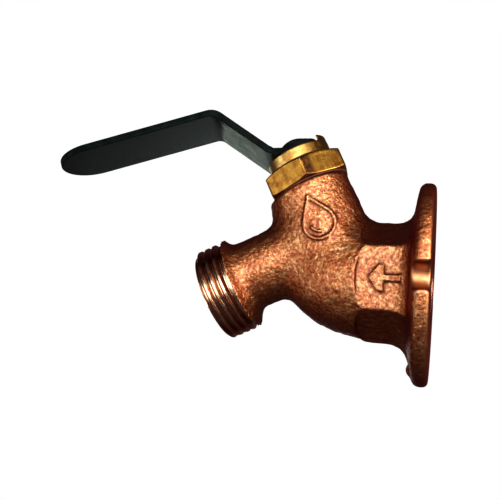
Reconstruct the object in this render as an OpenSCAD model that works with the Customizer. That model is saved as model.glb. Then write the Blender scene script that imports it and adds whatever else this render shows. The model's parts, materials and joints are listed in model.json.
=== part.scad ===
// Quarter-turn hose bib: a wall-flanged tap with a lever, a ceramic disc cartridge, a female pipe
// inlet and a garden hose outlet. Millimetres. The origin is the centre of the wall face, on the
// inlet axis: +X points into the wall, the outlet points to -X and +Z is up.

/* [Wall flange] */
// Radius of the round wall flange
flange_r = 27.2; // [26.5:0.1:29]
// Thickness of the flange at its rim
flange_t = 4.2; // [3.8:0.1:4.8]
// Radius of the rounded front edge of the rim
flange_edge_r = 2; // [1:0.1:2]
// Radius of the rounded back edge of the rim
flange_back_r = 1.6; // [0.5:0.1:1.8]
// Distance between the centres of the two open screw slots
slot_spacing = 50.8; // [50:0.1:51.6]
// Width of each screw slot
slot_w = 6.4; // [5.6:0.1:7]

/* [Inlet] */
// Distance across the flats of the inlet hexagon
inlet_af = 28.6; // [28:0.1:30]
// Distance from the wall face to the end of the hexagon
inlet_hex_end = 16.8; // [15.6:0.1:18.1]
// Crest radius of the female 1/2-14 pipe thread
pipe_crest_r = 9.16; // [9.1:0.01:9.2]
// Root radius of the female pipe thread
pipe_root_r = 10.61; // [10.5:0.01:10.7]
// Pitch of the pipe thread
pipe_pitch = 1.814; // [1.8:0.001:1.83]

/* [Casting] */
// Forward reach of the rounded nose from the wall face
nose_reach = 39.8; // [39.1:0.1:40.6]
// Radius of the nose behind the inlet hexagon
nose_r = 16; // [15.6:0.1:16.4]
// Distance from the wall face to where the stem and outlet axes cross
valve_x = 26.8; // [26.4:0.1:27.2]
// Height above the inlet axis at which they cross
valve_z = 10.6; // [10.3:0.1:11]
// Lean of the stem away from the wall, which is also the droop of the outlet
valve_tilt = 27; // [25:0.5:29]
// Radius of the bonnet boss
boss_r = 11.7; // [11.5:0.1:12]
// Height of the boss top above the outlet axis, along the stem
boss_top = 16.8; // [16.6:0.1:17.2]

/* [Hose outlet] */
// Length from the stem axis to the end of the outlet
outlet_len = 37.7; // [37.2:0.1:38]
// Crest radius of the male 3/4-11.5 garden hose thread
hose_crest_r = 13.49; // [13.4:0.01:13.5]
// Root radius of the hose thread
hose_root_r = 12.06; // [12:0.01:12.1]
// Pitch of the hose thread
hose_pitch = 2.209; // [2.2:0.001:2.21]
// Radius of the shoulder behind the hose thread
shoulder_r = 13.8; // [13.7:0.1:14.2]
// Radius of the slim part of the outlet neck
waist_r = 9.9; // [9.6:0.1:10.4]
// Radius of the waterway
bore_r = 6.8; // [6:0.1:7]

/* [Bonnet] */
// Distance across the flats of the bonnet hexagon
bonnet_af = 22; // [21.6:0.1:22.4]
// Height of the bonnet hexagon
bonnet_hex_h = 6.4; // [6:0.1:6.6]
// Turn of the tightened hexagon about the stem
bonnet_turn = 5; // [0:1:59]
// Radius of the collar above the hexagon
collar_r = 9.05; // [9:0.05:9.3]
// Height of the collar top above the outlet axis, along the stem
collar_top = 27.6; // [27.4:0.1:28]
// Height of the stop lug above the collar
lug_h = 1.6; // [1.2:0.1:1.9]
// Distance from the stem axis to the lug's flat inner face
lug_x = 7.2; // [7:0.1:8]

/* [Lever] */
// Width of the lever's grip
grip_w = 20.3; // [18:0.1:21]
// Thickness of the lever's strip
strip_t = 1.9; // [1.7:0.05:2]
// Distance from the stem axis to the foot of the riser
riser_foot = 7.9; // [7.5:0.1:8.5]
// Angle of the riser above the base plate
riser_angle = 58.8; // [55:0.1:62]
// Height of the grip's underside at the top of the riser
riser_h = 17.15; // [15:0.05:19]
// Angle of the grip above the base plate
grip_angle = 7.25; // [4:0.25:10]
// Distance from the stem axis to the lever's tip
lever_reach = 65.3; // [60:0.1:75]
// Angle of the open lever to the side of the outlet
lever_offset = 10.5; // [0:0.5:15]
// Turn from open to closed
lever_turn = 90; // [85:1:95]

/* [Hidden] */
$fn = 64;

// Gaps between pieces that only touch, and between pieces that turn in each other.
touch_gap = 0.02;
running_gap = 0.05;
// Overlap that keeps cuts and joins clean.
over = 0.1;

// Hose thread and pipe thread
hose_turns = 3;
hose_end_land = 0.6;
pipe_turns = 6;
pipe_mouth_r = 11.2;
pipe_mouth_depth = 0.7;
pipe_thread_end = 12.4;

// Fillet and hub in front of the flange, whose heights are measured from its front
flange_fillet_r = 4.6;
flange_fillet_centre_r = 21.2;
flange_fillet_rise = 5.6;
flange_hub_r = 15.2;
flange_hub_rise = 7.4;
slot_reach = 15;
slot_opening = 10;

// Casting
nose_start = 16.2;
nose_centre = 12.6;
casting_wall = 4.6;
nose_steps = 12;
boss_offset = 1.1;
boss_foot = -7;
boss_edge = 0.5;
waist_lift = 1.15;
neck_start = 6;
flare_start = 23;
flare_end = outlet_len - 8.4;
relief_r = hose_root_r - 0.2;
bore_start = 5;
bore_start_r = 7.4;
bore_taper = 13;
hose_mouth_r = 9.3;
hose_mouth_depth = 7.6;

// Cavity for the cartridge, and the metal kept round it inside the inlet chamber
metal_h = 30;
metal_w = 40;
seat_top = -8.5;
seat_t = 2.5;
seat_hole_r = 5;
cavity_r = 7.9;
cavity_wall = 2.4;

// Bonnet thread, in the boss and on the bonnet
bonnet_pitch = 1.27;
bonnet_turns = 6;
bonnet_thread_r = 8.74;
bonnet_thread_root_r = 7.92;
bonnet_thread_start = 9;
thread_gap = 0.06;

// Bonnet
gasket_t = 0.4;
gasket_r = 10.8;
hex_start = boss_top + gasket_t;
hex_end = hex_start + bonnet_hex_h;
hex_corner_r = bonnet_af / sqrt(3);
hex_face_r = bonnet_af / 2 - 0.2;
hex_chamfer = 0.9;
hex_foot_r = bonnet_af / 2 + 0.6;
hex_foot_chamfer = 0.6;
collar_start = hex_end + 0.5;
collar_edge = 0.3;
bonnet_foot = 8.2;
bonnet_foot_r = 7.7;
thrust_bore_r = 6.55;
thrust_seat = 11.6;

// Stem
stem_r = 4.5;
stem_bore_r = stem_r + running_gap;
flange_low = 8.6;
flange_high = 10.9;
stem_flange_r = 6.2;
neck_r = 3.4;
bar_w = 3.9;
bar_l = 11.6;
bar_low = -1.38;
bar_high = 2.5;
groove_r = 3.4;
groove_h = 1.4;
groove_lower = 13.2;
groove_upper = 17.4;
stem_tip_r = 4;
clip_groove_r = 3.5;
clip_low = 26.4;
clip_t = 0.66;
clip_r = 5.6;
clip_opening = 3.6;
clip_recess_r = 6.4;
clip_recess = 26.1;
square_w = 5.8;
square_end = 29.3;
screw_r = 2;
screw_edge = 0.4;
screw_end = 19.5;
screw_hole_end = 18.8;

// Lever and its screw
plate_low = collar_top + running_gap;
plate_high = plate_low + strip_t;
hub_r = 6.6;
shoulder_x = 3.2;
shoulder_end = riser_foot - 0.2;
foot_bend_r = 1.2;
top_bend_r = 3;
bend_steps = 6;
washer_t = 0.8;
washer_r = 5;
washer_hole = 2.15;
head_low = plate_high + washer_t + 2 * touch_gap;
head_r = 4;
head_edge = 0.5;
head_h = 1.9;
cross_w = 1;
cross_l = 4;
cross_depth = 1.2;

// Cartridge
cage_r = 7.8;
cage_bore = 7.05;
cage_low = -8.3;
cage_high = bonnet_foot - touch_gap;
window_low = 0.3;
window_high = 6.6;
window_w = 11.2;
ledge_r = 4.9;
tab_in = 5.1;
tab_angle = 24;
tab_high = 9.7;
notch_high = 9.8;
notch_r = 4.6;
stop_slack = 0.4;
key_w = 3;
disc_t = 2.98;
fixed_low = -6.2;
moving_low = fixed_low + disc_t + touch_gap;
disc_r = 6.95;
key_root = disc_r - 0.5;
key_r = 7.6;
port_in = 2.2;
port_out = 5.8;
port_angle = 76;
slot_depth = 1.2;
seal_in = 5.2;
seal_out = 6.95;

// Frames: z away from the wall with x up, the valve's own frame, and z along the outlet with x
// up the stem.
module from_wall() {
  rotate([0, -90, 0]) children();
}

module at_valve() {
  translate([-valve_x, 0, valve_z])
    rotate([0, -valve_tilt, 0]) children();
}

module along_outlet() {
  at_valve() rotate([0, -90, 0]) children();
}

// Outline of ring teeth between two radii, as [radius, height] points: 60 degree flanks with
// narrow flats on the crests and roots.
function teeth(low_r, high_r, pitch, turns, start) = [
  for (i = [0 : turns - 1])
    let (middle = start + (i + 0.5) * pitch)
    each [
      [low_r, middle - pitch * 7 / 16],
      [high_r, middle - pitch / 16],
      [high_r, middle + pitch / 16],
      [low_r, middle + pitch * 7 / 16],
    ]
];

// Points of an arc around a centre, from one angle to another.
function arc(centre, r, from, to, steps) = [
  for (i = [0 : steps])
    let (a = from + (to - from) * i / steps)
    centre + r * [cos(a), sin(a)]
];

// Quarter of an ellipse, from its widest point to its tip, as [radius, height] points.
function quarter_ellipse(r, reach, start) = [
  for (i = [0 : nose_steps])
    let (a = 90 * i / nose_steps)
    [r * cos(a), start + reach * sin(a)]
];

module tube(inner, outer, low, high) {
  difference() {
    translate([0, 0, low]) cylinder(r = outer, h = high - low);
    translate([0, 0, low - over]) cylinder(r = inner, h = high - low + 2 * over);
  }
}

// Part of a ring, about a middle angle.
module sector(inner, outer, low, high, middle, width) {
  rotate([0, 0, middle - width / 2]) rotate_extrude(angle = width)
    translate([inner, low]) square([outer - inner, high - low]);
}

// Valve body, outside

module flange_outside() {
  back = arc([flange_r - flange_back_r, flange_back_r], flange_back_r, -90, 0, 4);
  edge = arc([flange_r - flange_edge_r, flange_t - flange_edge_r], flange_edge_r, 0, 80, 5);
  fillet = arc([flange_fillet_centre_r, flange_t + flange_fillet_rise], flange_fillet_r, 262, 188, 5);
  hub_top = flange_t + flange_hub_rise;
  from_wall() rotate_extrude() polygon(concat(
    [[0, 0]],
    back,
    edge,
    fillet,
    [[flange_hub_r, hub_top], [0, hub_top]]
  ));
}

module inlet_hexagon() {
  from_wall() cylinder(r = inlet_af / sqrt(3), h = inlet_hex_end, $fn = 6);
}

module nose_outside() {
  quarter = quarter_ellipse(nose_r, nose_reach - nose_centre, nose_centre);
  dome = [for (p = quarter) if (p[1] > nose_start) p];
  from_wall() rotate_extrude() polygon(concat(
    [[0, nose_start], [nose_r - over, nose_start]],
    dome
  ));
}

module boss_outside() {
  at_valve() translate([-boss_offset, 0, 0]) rotate_extrude() polygon([
    [0, boss_foot],
    [boss_r, boss_foot],
    [boss_r, boss_top - boss_edge],
    [boss_r - boss_edge, boss_top],
    [0, boss_top],
  ]);
}

module outlet_outside() {
  along_outlet() {
    translate([waist_lift, 0, neck_start]) cylinder(r = waist_r, h = flare_end - neck_start - 3);
    rotate_extrude() polygon(concat(
      [[0, flare_start], [waist_r - 1.2, flare_start]],
      [[waist_r + 0.2, flare_start + 3], [waist_r + 1.6, flare_end - 1.9]],
      [[shoulder_r - 0.2, flare_end - 0.3], [shoulder_r, flare_end], [relief_r, flare_end + 0.1]],
      [[relief_r, flare_end + 1.1]],
      teeth(hose_root_r, hose_crest_r, hose_pitch, hose_turns,
            outlet_len - hose_end_land - hose_turns * hose_pitch),
      [[hose_root_r + 0.6, outlet_len], [0, outlet_len]]
    ));
  }
}

// Valve body, inside

module inlet_thread() {
  from_wall() rotate_extrude() polygon(concat(
    [[0, -over], [pipe_mouth_r + over, -over], [pipe_crest_r + 0.9, pipe_mouth_depth]],
    teeth(pipe_crest_r, pipe_root_r, pipe_pitch, pipe_turns, pipe_mouth_depth + 0.3),
    [[pipe_crest_r, pipe_thread_end + 1], [0, pipe_thread_end + 1]]
  ));
}

module inlet_chamber() {
  chamber_r = nose_r - casting_wall;
  reach = nose_reach - nose_centre - casting_wall;
  difference() {
    from_wall() rotate_extrude() polygon(concat(
      [[0, pipe_thread_end], [chamber_r - 1, pipe_thread_end]],
      quarter_ellipse(chamber_r, reach, nose_centre)
    ));
    at_valve() {
      low = seat_top - seat_t;
      translate([0, 0, low]) cylinder(r = cavity_r + cavity_wall, h = metal_h);
      translate([-metal_w, -metal_w / 2, low]) cube([metal_w, metal_w, metal_h]);
    }
  }
}

module valve_cavity() {
  at_valve() {
    translate([0, 0, seat_top - seat_t - over]) cylinder(r = seat_hole_r, h = seat_t + 1);
    translate([0, 0, seat_top]) cylinder(r = cavity_r, h = bonnet_thread_start - seat_top);
    rotate_extrude() polygon(concat(
      [[0, bonnet_thread_start - 1], [bonnet_thread_root_r + thread_gap, bonnet_thread_start - 1]],
      teeth(bonnet_thread_root_r + thread_gap, bonnet_thread_r + thread_gap, bonnet_pitch,
            bonnet_turns, bonnet_thread_start),
      [[bonnet_thread_root_r + thread_gap, boss_top - 0.1], [bonnet_thread_r, boss_top + over]],
      [[0, boss_top + over]]
    ));
  }
}

module outlet_bore() {
  along_outlet() {
    bore_end = bore_start + bore_taper;
    translate([0, 0, bore_start]) cylinder(r1 = bore_start_r, r2 = bore_r, h = bore_taper);
    translate([0, 0, bore_end - over]) cylinder(r = bore_r, h = outlet_len - bore_end);
    translate([0, 0, outlet_len - hose_mouth_depth])
      cylinder(r = hose_mouth_r, h = hose_mouth_depth + over);
  }
}

module screw_slots() {
  for (side = [-1, 1]) {
    middle = side * slot_spacing / 2;
    translate([-slot_reach, middle, 0])
      rotate([0, 90, 0]) cylinder(r = slot_w / 2, h = slot_reach + over);
    translate([-slot_reach, middle + (side - 1) * slot_opening / 2, -slot_w / 2])
      cube([slot_reach + over, slot_opening, slot_w]);
  }
}

module valve_body() {
  color("peru") difference() {
    union() {
      flange_outside();
      inlet_hexagon();
      nose_outside();
      boss_outside();
      outlet_outside();
    }
    inlet_thread();
    inlet_chamber();
    valve_cavity();
    outlet_bore();
    screw_slots();
  }
}

// Bonnet

module bonnet_washer() {
  color("dimgray") at_valve()
    tube(bonnet_thread_r + thread_gap, gasket_r, boss_top + touch_gap, hex_start - touch_gap);
}

module bonnet_outside() {
  rotate_extrude() polygon(concat(
    [[0, bonnet_foot], [bonnet_foot_r, bonnet_foot]],
    teeth(bonnet_thread_root_r, bonnet_thread_r, bonnet_pitch, bonnet_turns, bonnet_thread_start),
    [[bonnet_thread_root_r, hex_start + over], [0, hex_start + over]]
  ));
  intersection() {
    translate([0, 0, hex_start])
      rotate([0, 0, 30 + bonnet_turn]) cylinder(r = hex_corner_r, h = bonnet_hex_h, $fn = 6);
    rotate_extrude() polygon([
      [0, hex_start],
      [hex_foot_r, hex_start],
      [hex_corner_r + 0.1, hex_start + hex_foot_chamfer],
      [hex_corner_r + 0.1, hex_end - hex_chamfer],
      [hex_face_r, hex_end],
      [0, hex_end],
    ]);
  }
  rotate_extrude() polygon([
    [0, hex_end - over],
    [hex_face_r - 0.2, hex_end - over],
    [collar_r, collar_start],
    [collar_r, collar_top - collar_edge],
    [collar_r - collar_edge, collar_top],
    [0, collar_top],
  ]);
  // Stop lug: the segment of the collar's disc beyond a flat.
  intersection() {
    translate([0, 0, collar_top - 1]) cylinder(r = collar_r, h = lug_h + 1);
    translate([lug_x, -collar_r, collar_top - 1]) cube([collar_r, 2 * collar_r, lug_h + 1]);
  }
}

module bonnet() {
  color("goldenrod") at_valve() difference() {
    bonnet_outside();
    translate([0, 0, bonnet_foot - over])
      cylinder(r = thrust_bore_r, h = thrust_seat - bonnet_foot + over);
    translate([0, 0, thrust_seat - over]) cylinder(r = stem_bore_r, h = collar_top - thrust_seat);
    translate([0, 0, clip_recess]) cylinder(r = clip_recess_r, h = collar_top - clip_recess + over);
  }
}

// Stem and what turns with it

module stem() {
  color("gold") at_valve() difference() {
    union() {
      translate([-bar_w / 2, -bar_l / 2, bar_low]) cube([bar_w, bar_l, bar_high - bar_low]);
      translate([-square_w / 2, -square_w / 2, collar_top - over])
        cube([square_w, square_w, square_end - collar_top + over]);
      rotate_extrude() polygon([
        [0, 0],
        [neck_r, 0],
        [neck_r, flange_low],
        [stem_flange_r, flange_low],
        [stem_flange_r, flange_high],
        [stem_r, flange_high],
        [stem_r, groove_lower],
        [groove_r, groove_lower],
        [groove_r, groove_lower + groove_h],
        [stem_r, groove_lower + groove_h],
        [stem_r, groove_upper],
        [groove_r, groove_upper],
        [groove_r, groove_upper + groove_h],
        [stem_r, groove_upper + groove_h],
        [stem_r, clip_recess - 0.5],
        [stem_tip_r, clip_recess],
        [stem_tip_r, clip_low],
        [clip_groove_r, clip_low],
        [clip_groove_r, clip_low + clip_t + 2 * touch_gap],
        [stem_tip_r, clip_low + clip_t + 2 * touch_gap],
        [stem_tip_r, collar_top],
        [0, collar_top],
      ]);
    }
    translate([0, 0, screw_hole_end])
      cylinder(r = screw_r + touch_gap, h = square_end - screw_hole_end + over);
    // Notch in the thrust flange: the cage's tab in it stops the stem open and closed.
    sector(notch_r, stem_flange_r + 1, flange_low - over, notch_high,
           lever_turn / 2, lever_turn + tab_angle + 2 * stop_slack);
  }
}

module stem_o_ring(low) {
  section_r = (stem_r - groove_r) / 2;
  color("black") at_valve() translate([0, 0, low + groove_h / 2])
    rotate_extrude() translate([groove_r + section_r + touch_gap, 0]) circle(r = section_r, $fn = 24);
}

module stem_o_ring_upper() {
  stem_o_ring(groove_upper);
}

module stem_o_ring_lower() {
  stem_o_ring(groove_lower);
}

module thrust_washer() {
  color("ivory") at_valve()
    tube(stem_bore_r, stem_flange_r, flange_high + touch_gap, thrust_seat - touch_gap);
}

module retaining_clip() {
  low = clip_low + touch_gap;
  color("silver") at_valve() difference() {
    tube(clip_groove_r + touch_gap, clip_r, low, low + clip_t);
    translate([0, -clip_opening / 2, low - over])
      cube([clip_r + 1, clip_opening, clip_t + 2 * over]);
  }
}

// Lever

// Direction square to a heading, in the lever's side view.
function left_of(heading) = [-sin(heading), cos(heading)];

// Points round a bend of the underside: each is [along, up, heading].
function bend(corner, r, from, to) =
  let (side = to > from ? 1 : -1)
  let (reach = r * tan(abs(to - from) / 2))
  let (centre = corner - reach * [cos(from), sin(from)] + side * r * left_of(from))
  [
    for (i = [0 : bend_steps])
      let (heading = from + (to - from) * i / bend_steps)
      let (p = centre - side * r * left_of(heading))
      [p[0], p[1], heading]
  ];

foot_corner = [riser_foot, 0];
top_corner = foot_corner + riser_h / tan(riser_angle) * [1, 0] + [0, riser_h];
tip_up = riser_h + (lever_reach - top_corner[0]) * tan(grip_angle);
underside = concat(
  [[-hub_r - 1, 0, 0]],
  bend(foot_corner, foot_bend_r + strip_t, 0, riser_angle),
  bend(top_corner, top_bend_r, riser_angle, grip_angle),
  [[lever_reach + 1, tip_up + tan(grip_angle), grip_angle]]
);
top_side = [
  for (i = [len(underside) - 1 : -1 : 0])
    let (p = underside[i])
    [p[0], p[1]] + strip_t * left_of(p[2])
];

// Side view of the bent strip, as wide as the grip.
module bent_strip() {
  rotate([90, 0, 0]) translate([0, 0, -grip_w / 2]) linear_extrude(grip_w)
    polygon(concat([for (p = underside) [p[0], p[1]]], top_side));
}

// Outline of the lever from above: round hub, shoulders, straight grip, round tip.
module lever_outline() {
  circle(r = hub_r);
  hub_w = sqrt(hub_r * hub_r - shoulder_x * shoulder_x);
  polygon([
    [shoulder_x, -hub_w],
    [shoulder_end, -grip_w / 2],
    [lever_reach - grip_w / 2, -grip_w / 2],
    [lever_reach - grip_w / 2, grip_w / 2],
    [shoulder_end, grip_w / 2],
    [shoulder_x, hub_w],
  ]);
  translate([lever_reach - grip_w / 2, 0]) circle(r = grip_w / 2);
}

module lever() {
  color("darkslategray") at_valve() difference() {
    translate([0, 0, plate_low]) rotate([0, 0, 180 + lever_offset]) intersection() {
      bent_strip();
      translate([0, 0, -1]) linear_extrude(riser_h + 20) lever_outline();
    }
    translate([-square_w / 2 - running_gap, -square_w / 2 - running_gap, plate_low - 1])
      cube([square_w + 2 * running_gap, square_w + 2 * running_gap, strip_t + 2]);
  }
}

module lever_washer() {
  low = plate_high + touch_gap;
  color("dimgray") at_valve() tube(washer_hole, washer_r, low, low + washer_t);
}

module lever_screw() {
  // Dome over the head's rim: a circle through the rim and the crown.
  rise = head_h - head_edge;
  dome_r = (head_r * head_r + rise * rise) / (2 * rise);
  rim_angle = asin((dome_r - rise) / dome_r);
  color("dimgray") at_valve() difference() {
    rotate_extrude() polygon(concat(
      [[0, screw_end], [screw_r - screw_edge, screw_end], [screw_r, screw_end + screw_edge]],
      [[screw_r, head_low], [head_r, head_low]],
      arc([0, head_low + head_h - dome_r], dome_r, rim_angle, 90, 6)
    ));
    for (turn = [45, 135])
      rotate([0, 0, turn]) translate([-cross_l / 2, -cross_w / 2, head_low + head_h - cross_depth])
        cube([cross_l, cross_w, cross_depth + 1]);
  }
}

// Cartridge

module cartridge_cage() {
  color("khaki") at_valve() difference() {
    union() {
      tube(cage_bore, cage_r, cage_low, cage_high);
      tube(ledge_r, cage_bore + over, window_high, cage_high);
      sector(tab_in, stem_flange_r - over, cage_high - over, tab_high, 0, tab_angle);
    }
    translate([-cage_r - 1, -window_w / 2, window_low])
      cube([2 * cage_r + 2, window_w, window_high - window_low]);
    translate([-key_w / 2 - running_gap, -cage_r - 1, cage_low - over])
      cube([key_w + 2 * running_gap, 2 * cage_r + 2, moving_low - cage_low + over]);
  }
}

module disc_with_ports(low) {
  difference() {
    translate([0, 0, low]) cylinder(r = disc_r, h = disc_t);
    for (middle = [0, 180])
      sector(port_in, port_out, low - over, low + disc_t + over, middle, port_angle);
  }
}

module moving_disc() {
  color("white") at_valve() difference() {
    disc_with_ports(moving_low);
    translate([-bar_w / 2 - touch_gap, -disc_r - 1, moving_low + disc_t - slot_depth])
      cube([bar_w + 2 * touch_gap, 2 * disc_r + 2, slot_depth + 1]);
  }
}

module fixed_disc() {
  color("whitesmoke") at_valve() union() {
    disc_with_ports(fixed_low);
    for (side = [0, 180])
      rotate([0, 0, side]) translate([-key_w / 2, key_root, fixed_low])
        cube([key_w, key_r - key_root, disc_t]);
  }
}

module seat_seal() {
  color("black") at_valve()
    tube(seal_in, seal_out, seat_top + touch_gap, fixed_low - touch_gap);
}

valve_body();
bonnet_washer();
bonnet();
lever();
lever_screw();
lever_washer();
retaining_clip();
stem();
stem_o_ring_upper();
stem_o_ring_lower();
thrust_washer();
cartridge_cage();
moving_disc();
fixed_disc();
seat_seal();
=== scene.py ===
"""Looks of a quarter-turn hose bib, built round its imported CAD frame.

Shapes are worked out in millimetres in the row frame and become metres in add_piece().
The casting and the bonnet are fields (signed distances) that are meshed by surface nets.
"""

import json
import math

import bmesh
import bpy
import numpy as np
from mathutils import Matrix, Vector


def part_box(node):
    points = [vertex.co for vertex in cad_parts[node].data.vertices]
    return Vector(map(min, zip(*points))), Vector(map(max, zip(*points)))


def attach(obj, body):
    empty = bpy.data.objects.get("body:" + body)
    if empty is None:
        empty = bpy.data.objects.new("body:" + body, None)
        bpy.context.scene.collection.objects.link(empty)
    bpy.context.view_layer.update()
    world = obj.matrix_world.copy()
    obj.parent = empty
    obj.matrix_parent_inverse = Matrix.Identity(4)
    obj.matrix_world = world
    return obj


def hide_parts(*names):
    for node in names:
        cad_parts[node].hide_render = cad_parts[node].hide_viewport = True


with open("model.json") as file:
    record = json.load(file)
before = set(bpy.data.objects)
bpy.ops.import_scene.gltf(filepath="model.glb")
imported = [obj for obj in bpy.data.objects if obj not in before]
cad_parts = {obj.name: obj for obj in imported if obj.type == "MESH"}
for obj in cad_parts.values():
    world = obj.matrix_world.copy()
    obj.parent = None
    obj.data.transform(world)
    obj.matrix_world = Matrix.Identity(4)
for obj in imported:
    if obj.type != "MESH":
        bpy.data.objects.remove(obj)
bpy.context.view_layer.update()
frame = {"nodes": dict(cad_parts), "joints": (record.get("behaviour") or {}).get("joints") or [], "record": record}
MM = 0.001
SEED = 7

# ---------------------------------------------------------------- places taken from the frame


def mount(name):
    return next(m for m in frame["record"]["mounts"] if m["name"] == name)


def node_box(name):
    low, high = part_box(name)
    return np.array(low) / MM, np.array(high) / MM


JOINT = frame["joints"][0]
VALVE = np.array(JOINT["pos_m"]) / MM
STEM_UP = -np.array(JOINT["axis"], float)
STEM_UP /= np.linalg.norm(STEM_UP)
ACROSS = np.array([0.0, 1.0, 0.0])
UPHILL = np.cross(ACROSS, STEM_UP)
TILT = math.atan2(UPHILL[2], UPHILL[0])
HOSE = mount("hose_outlet")
HOSE_CREST = HOSE["dims"]["r_mm"]
PIPE_CREST = mount("supply_inlet")["dims"]["r_mm"]
FLANGE_R = -node_box("valve_body")[0][2]


def valve_parts(p):
    """Coordinates in the valve's own frame: uphill along the outlet, across, and up the stem."""
    d = p - VALVE
    return d @ UPHILL, d[:, 1], d @ STEM_UP


def valve_points(x, y, z):
    """Row-frame points from valve-frame coordinates."""
    return VALVE + np.outer(x, UPHILL) + np.outer(y, ACROSS) + np.outer(z, STEM_UP)


# ---------------------------------------------------------------- field tools


def smooth_min(a, b, k):
    """Union of two fields with a fillet of about k."""
    h = np.clip(0.5 + 0.5 * (b - a) / k, 0, 1)
    return b + (a - b) * h - k * h * (1 - h)


def smooth_max(a, b, k):
    """Intersection of two fields with a rounded edge of about k."""
    return -smooth_min(-a, -b, k)


def cut(field, tool, k):
    return smooth_max(field, -tool, k)


def between(value, low, high):
    """Field of the slab between two planes."""
    return np.abs(value - (low + high) / 2) - (high - low) / 2


def blend_step(value, low, high):
    """0 below low, 1 above high, smooth in between."""
    t = np.clip((value - low) / (high - low), 0, 1)
    return t * t * (3 - 2 * t)


def hexagon(a, b, flats):
    """Field of a hexagonal bar with two flats square to a."""
    return hexagon_reach(a, b, 0.5) - flats / 2


def hexagon_reach(a, b, k):
    """Distance from the axis, measured square to the nearest of six flats."""
    far = np.abs(a)
    for turn in (60, 120):
        t = math.radians(turn)
        far = smooth_max(far, np.abs(a * math.cos(t) + b * math.sin(t)), k)
    return far


def smooth_noise(p, cell, seed):
    """Random values from -1 to 1 that change over about one cell."""
    size = 48
    table = np.random.default_rng(seed).uniform(-1, 1, (size, size, size))
    q = p / cell
    base = np.floor(q).astype(np.int64)
    t = q - base
    t = t * t * (3 - 2 * t)
    total = np.zeros(len(p))
    for corner in np.ndindex(2, 2, 2):
        index = (base + corner) % size
        weight = np.prod(np.where(np.array(corner) == 1, t, 1 - t), axis=1)
        total += weight * table[index[:, 0], index[:, 1], index[:, 2]]
    return total


# ---------------------------------------------------------------- surface nets


def sample(field, axes):
    """The field on a grid, one slab at a time."""
    ny, nz = len(axes[1]), len(axes[2])
    y, z = np.meshgrid(axes[1], axes[2], indexing="ij")
    values = np.empty((len(axes[0]), ny, nz), np.float32)
    for i, x in enumerate(axes[0]):
        p = np.column_stack([np.full(ny * nz, x), y.ravel(), z.ravel()])
        values[i] = field(p).reshape(ny, nz)
    return values


def surface_net(field, low, high, step):
    """Points and quads of the surface where the field is zero."""
    low = np.array(low, float)
    axes = [np.arange(low[i], high[i] + step, step) for i in range(3)]
    value = sample(field, axes)
    shape = np.array(value.shape)
    strides = np.array([shape[1] * shape[2], shape[2], 1])
    crossings, quads = [], []
    for axis in range(3):
        before = np.take(value, range(shape[axis] - 1), axis)
        after = np.take(value, range(1, shape[axis]), axis)
        at = np.argwhere((before < 0) != (after < 0))
        v0 = before[tuple(at.T)].astype(float)
        v1 = after[tuple(at.T)].astype(float)
        point = at.astype(float)
        point[:, axis] += v0 / (v0 - v1)
        flat = at @ strides
        b, c = (axis + 1) % 3, (axis + 2) % 3
        ring = [flat, flat - strides[b], flat - strides[b] - strides[c], flat - strides[c]]
        quad = np.column_stack(ring)
        quads.append(np.where((v0 < 0)[:, None], quad, quad[:, ::-1]))
        crossings.append(np.column_stack([np.repeat(point, 4, 0), quad.ravel()]))
    crossings, quads = np.vstack(crossings), np.vstack(quads)
    cells, owner = np.unique(crossings[:, 3].astype(np.int64), return_inverse=True)
    count = np.bincount(owner)
    mean = [np.bincount(owner, crossings[:, i]) / count for i in range(3)]
    points = low + step * np.column_stack(mean)
    return points, np.searchsorted(cells, quads)


def gradient(field, p):
    h = 0.02
    return np.column_stack([(field(p + h * d) - field(p - h * d)) / (2 * h) for d in np.eye(3)])


def project(field, p, reach, rounds=3):
    """Moves points onto the zero surface, no further than reach in a round."""
    for _ in range(rounds):
        g = gradient(field, p)
        move = -field(p)[:, None] * g / np.maximum((g * g).sum(1), 0.05)[:, None]
        length = np.linalg.norm(move, axis=1)
        p = p + move * np.minimum(1, reach / np.maximum(length, 1e-9))[:, None]
    return p


def relax(p, quads, share):
    """Evens out the spacing of the points."""
    total, count = np.zeros_like(p), np.zeros(len(p))
    for i in range(4):
        a, b = quads[:, i], quads[:, (i + 1) % 4]
        for here, there in ((a, b), (b, a)):
            for k in range(3):
                total[:, k] += np.bincount(here, p[there, k], len(p))
            count += np.bincount(here, minlength=len(p))
    return p + share * (total / count[:, None] - p)


def field_surface(field, low, high, step):
    points, quads = surface_net(field, low, high, step)
    points = project(field, points, step)
    for _ in range(2):
        points = project(field, relax(points, quads, 0.5), step, 2)
    return points, quads


# ---------------------------------------------------------------- mesh tools


def add_piece(name, body, points, faces, material, replaces=()):
    """A mesh object in metres that rides on a CAD body."""
    mesh = bpy.data.meshes.new(name)
    mesh.from_pydata((np.asarray(points) * MM).tolist(), [], np.asarray(faces).tolist())
    mesh.validate()
    mesh.materials.append(material)
    piece = bpy.data.objects.new(name, mesh)
    bpy.context.scene.collection.objects.link(piece)
    mesh.shade_smooth()
    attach(piece, body)
    if replaces:
        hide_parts(*replaces)
    return piece


def grid_faces(rows, columns):
    """Quads over closed rings of points, stored ring by ring."""
    i, j = np.meshgrid(np.arange(rows - 1), np.arange(columns), indexing="ij")
    i, j = i.ravel() * columns, j.ravel()
    j2 = (j + 1) % columns
    return np.column_stack([i + j, i + j2, i + columns + j2, i + columns + j])


def merge_close(piece, distance=1e-6):
    """Joins points that fall together and drops the faces that vanish with them."""
    b = bmesh.new()
    b.from_mesh(piece.data)
    bmesh.ops.remove_doubles(b, verts=b.verts, dist=distance)
    bmesh.ops.dissolve_degenerate(b, edges=b.edges, dist=distance)
    bmesh.ops.recalc_face_normals(b, faces=b.faces)
    b.to_mesh(piece.data)
    b.free()


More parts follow.
